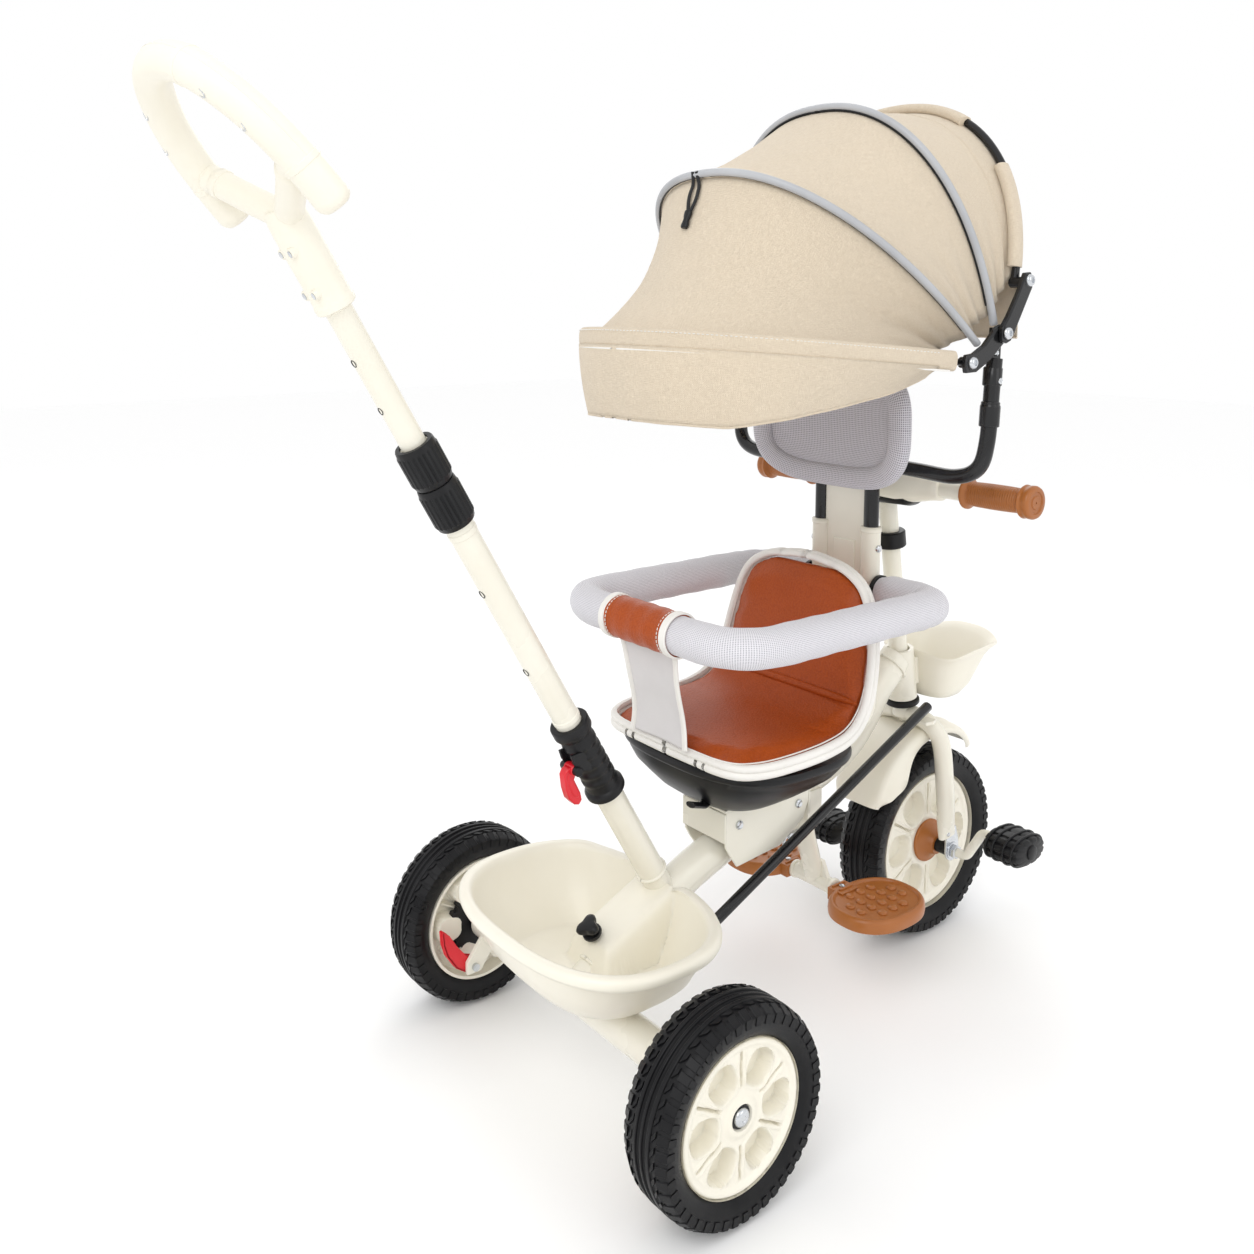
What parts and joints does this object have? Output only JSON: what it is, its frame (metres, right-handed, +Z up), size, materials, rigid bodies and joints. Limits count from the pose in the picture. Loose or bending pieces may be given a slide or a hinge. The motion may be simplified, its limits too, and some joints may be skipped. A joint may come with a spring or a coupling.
{
  "type": "children's push tricycle",
  "caption": "Children's tricycle with a turning padded seat, guard rail, folding canopy, baskets and a steering push bar.",
  "frame": {"origin": "on the floor below the middle of the whole tricycle", "axes": "+Y towards the front wheel, +X to the right-hand side, +Z up"},
  "size_m": [0.481, 1.109, 1.0563],
  "materials": {
    "cream_paint": "gloss cream powder coat",
    "cream_plastic": "moulded cream plastic, fine satin",
    "black_plastic": "moulded black plastic",
    "black_paint": "gloss black powder coat",
    "tyre": "black foam rubber tyre",
    "steel": "bright zinc plated steel",
    "brown_plastic": "moulded caramel brown plastic",
    "red_plastic": "moulded red plastic",
    "leatherette": "orange brown leatherette",
    "grey_mesh": "light grey spacer mesh",
    "canopy_cloth": "beige woven canopy cloth",
    "piping": "silver grey piping over wire"
  },
  "bodies": {
    "frame": {"main_frame": "cream_paint", "rear_axle": "steel", "rear_basket": "cream_plastic", "basket_knob": "black_plastic", "front_basket": "cream_plastic", "head_bearing": "black_plastic", "seat_bracket": "cream_paint"},
    "rear_wheel_left": {"rear_tyre_left": "tyre", "rear_rim_left": "cream_plastic", "brake_ring_left": "black_plastic"},
    "rear_wheel_right": {"rear_tyre_right": "tyre", "rear_rim_right": "cream_plastic", "brake_ring_right": "black_plastic"},
    "brake_left": {"brake_lever_left": "red_plastic"},
    "brake_right": {"brake_lever_right": "red_plastic"},
    "footrest_post": {"footrest_post": "cream_paint"},
    "footrest_pin": {"footrest_pin": "steel"},
    "footrest_left": {"footrest_left": "brown_plastic"},
    "footrest_right": {"footrest_right": "brown_plastic"},
    "steering": {"fork": "cream_paint", "front_fender": "cream_plastic", "stem_clamp": "black_plastic", "handlebar": "cream_paint", "handlebar_cover": "cream_plastic", "grip_left": "brown_plastic", "grip_right": "brown_plastic"},
    "front_wheel": {"front_tyre": "tyre", "front_rim": "cream_plastic", "hub_cone_left": "brown_plastic", "hub_cone_right": "brown_plastic", "front_crank": "cream_paint"},
    "pedal_left": {"pedal_left": "black_plastic"},
    "pedal_right": {"pedal_right": "black_plastic"},
    "seat": {"seat_turntable": "steel", "seat_shell": "black_plastic", "seat_cushion": "leatherette", "backrest_frame": "cream_paint", "headrest": "grey_mesh", "guard_rail": "grey_mesh", "guard_rail_wrap": "leatherette", "crotch_panel": "grey_mesh", "canopy_support": "black_paint", "canopy_bow_rear": "black_paint", "canopy_back": "canopy_cloth"},
    "canopy_second_bow": {"canopy_bow_second": "piping", "canopy_panel_rear": "canopy_cloth"},
    "canopy_first_bow": {"canopy_bow_first": "piping", "canopy_panel_middle": "canopy_cloth"},
    "canopy_visor": {"canopy_bow_visor": "black_paint", "canopy_panel_front": "canopy_cloth", "canopy_visor_flap": "canopy_cloth"},
    "push_bar": {"push_bar_lower": "cream_paint", "push_clamp": "black_plastic"},
    "snap_button": {"snap_button": "steel"},
    "clamp_lever": {"clamp_lever": "red_plastic"},
    "twist_collar_lower": {"twist_collar_lower": "black_plastic"},
    "twist_collar_upper": {"twist_collar_upper": "black_plastic"},
    "push_bar_extension": {"push_bar_upper": "cream_paint", "push_handle": "cream_plastic"},
    "steering_rod": {"steering_rod": "black_paint"}
  },
  "joints": [
    {"name": "steering_turn", "type": "hinge", "parent": "frame", "child": "steering", "pos_m": [0, 0.39705, 0.297], "axis": [0, -0.1512, 0.9885], "range_deg": [-24, 24]},
    {"name": "push_bar_turn", "type": "hinge", "parent": "frame", "child": "push_bar", "pos_m": [0, -0.02995, 0.207], "axis": [0, -0.5082, 0.8613], "range_deg": [-24.5, 24.5]},
    {"name": "steering_rod_swing", "type": "hinge", "parent": "push_bar", "child": "steering_rod", "pos_m": [0.045, 0.00547, 0.14697], "axis": [0, -0.5082, 0.8613], "range_deg": [-24.5, 24.5]},
    {"name": "front_wheel_spin", "type": "hinge", "parent": "steering", "child": "front_wheel", "pos_m": [0, 0.43205, 0.1225], "axis": [1, 0, 0], "continuous": true},
    {"name": "pedal_left_spin", "type": "hinge", "parent": "front_wheel", "child": "pedal_left", "pos_m": [-0.14, 0.43205, 0.083], "axis": [1, 0, 0], "continuous": true},
    {"name": "pedal_right_spin", "type": "hinge", "parent": "front_wheel", "child": "pedal_right", "pos_m": [0.14, 0.43205, 0.162], "axis": [1, 0, 0], "continuous": true},
    {"name": "rear_wheel_left_spin", "type": "hinge", "parent": "frame", "child": "rear_wheel_left", "pos_m": [-0.2125, -0.12795, 0.102], "axis": [1, 0, 0], "continuous": true},
    {"name": "rear_wheel_right_spin", "type": "hinge", "parent": "frame", "child": "rear_wheel_right", "pos_m": [0.2125, -0.12795, 0.102], "axis": [1, 0, 0], "continuous": true},
    {"name": "brake_left_press", "type": "hinge", "parent": "frame", "child": "brake_left", "pos_m": [-0.163, -0.15795, 0.0655], "axis": [1, 0, 0], "range_deg": [0, 25]},
    {"name": "brake_right_press", "type": "hinge", "parent": "frame", "child": "brake_right", "pos_m": [0.163, -0.15795, 0.0655], "axis": [1, 0, 0], "range_deg": [0, 25]},
    {"name": "footrest_swing", "type": "hinge", "parent": "frame", "child": "footrest_post", "pos_m": [0, 0.20605, 0.213], "axis": [-1, 0, 0], "range_deg": [0, 34]},
    {"name": "footrest_pin_pull", "type": "slide", "parent": "footrest_post", "child": "footrest_pin", "axis": [0, -1, 0], "range_m": [0, 0.008], "stiffness_N_per_m": 200},
    {"name": "footrest_left_fold", "type": "hinge", "parent": "footrest_post", "child": "footrest_left", "pos_m": [-0.042, 0.23405, 0.122], "axis": [0, 1, 0], "range_deg": [0, 80]},
    {"name": "footrest_right_fold", "type": "hinge", "parent": "footrest_post", "child": "footrest_right", "pos_m": [0.042, 0.23405, 0.122], "axis": [0, -1, 0], "range_deg": [0, 80]},
    {"name": "seat_turn", "type": "hinge", "parent": "frame", "child": "seat", "pos_m": [0, 0.08705, 0.27], "axis": [0, 0, 1], "range_deg": [-150, 150]},
    {"name": "canopy_fold", "type": "hinge", "parent": "seat", "child": "canopy_second_bow", "pos_m": [0, 0.29105, 0.791], "axis": [-1, 0, 0], "range_deg": [0, 22], "deforming": ["canopy_panel_rear"]},
    {"name": "canopy_first_fold", "type": "hinge", "parent": "canopy_second_bow", "child": "canopy_first_bow", "pos_m": [0, 0.29105, 0.791], "axis": [-1, 0, 0], "range_deg": [0, 31], "deforming": ["canopy_panel_middle"]},
    {"name": "canopy_visor_fold", "type": "hinge", "parent": "canopy_first_bow", "child": "canopy_visor", "pos_m": [0, 0.29105, 0.791], "axis": [-1, 0, 0], "range_deg": [0, 25], "deforming": ["canopy_panel_front"]},
    {"name": "push_bar_slide", "type": "slide", "parent": "push_bar", "child": "push_bar_extension", "axis": [0, -0.5082, 0.8613], "range_m": [-0.14, 0]},
    {"name": "twist_collar_lower_turn", "type": "hinge", "parent": "push_bar", "child": "twist_collar_lower", "pos_m": [0, -0.27488, 0.62213], "axis": [0, -0.5082, 0.8613], "range_deg": [0, 90]},
    {"name": "twist_collar_upper_turn", "type": "hinge", "parent": "push_bar", "child": "twist_collar_upper", "pos_m": [0, -0.29876, 0.66261], "axis": [0, -0.5082, 0.8613], "range_deg": [0, 90]},
    {"name": "clamp_lever_open", "type": "hinge", "parent": "push_bar", "child": "clamp_lever", "pos_m": [-0.004, -0.14142, 0.35603], "axis": [-1, 0, 0], "range_deg": [0, 60]},
    {"name": "snap_button_press", "type": "slide", "parent": "push_bar", "child": "snap_button", "axis": [1, 0, 0], "range_m": [0, 0.003], "stiffness_N_per_m": 300}
  ],
  "couplings": [
    {"joint": "push_bar_turn", "follows": "steering_turn", "ratio": 1},
    {"joint": "steering_rod_swing", "follows": "steering_turn", "ratio": -1},
    {"joint": "canopy_first_fold", "follows": "canopy_fold", "ratio": 1.38},
    {"joint": "canopy_visor_fold", "follows": "canopy_fold", "ratio": 1.12}
  ]
}
